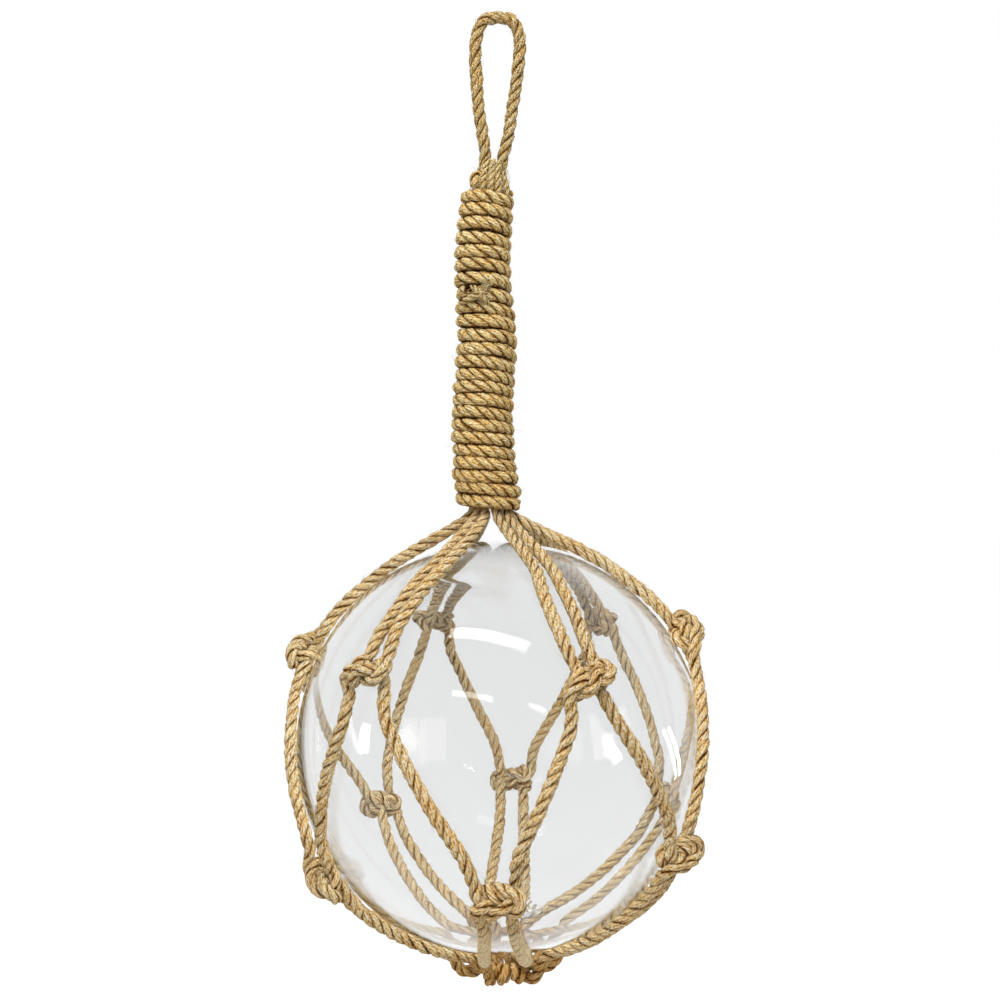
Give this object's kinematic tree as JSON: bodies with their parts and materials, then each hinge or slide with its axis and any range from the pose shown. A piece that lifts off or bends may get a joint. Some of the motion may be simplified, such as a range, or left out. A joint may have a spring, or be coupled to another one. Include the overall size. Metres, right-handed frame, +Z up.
{
  "type": "hanging glass ball float in a rope net",
  "caption": "Sealed blown-glass ball held in a knotted jute net, with a rope-wrapped stem and a loop at the top to hang it by.",
  "frame": {"origin": "the point where a hook bears, at the top inside the hanging loop", "axes": "+Z up, +X to the right as seen from the front, -Y towards the front"},
  "size_m": [0.2095, 0.2108, 0.4743],
  "materials": {
    "clear_glass": "clear blown glass, faintly grey",
    "jute_net": "three-strand laid jute rope, fuzzy",
    "jute_wrap": "three-strand laid jute rope, wound tight",
    "jute_loop": "three-strand laid jute rope"
  },
  "bodies": {
    "root": {"glass_ball": "clear_glass", "base_ring": "jute_net", "net_cord_1": "jute_net", "net_cord_2": "jute_net", "net_cord_3": "jute_net", "net_cord_4": "jute_net", "net_cord_5": "jute_net", "net_cord_6": "jute_net", "wrap_lower": "jute_wrap", "wrap_middle": "jute_wrap", "wrap_upper": "jute_wrap", "hanging_loop": "jute_loop"}
  },
  "joints": []
}
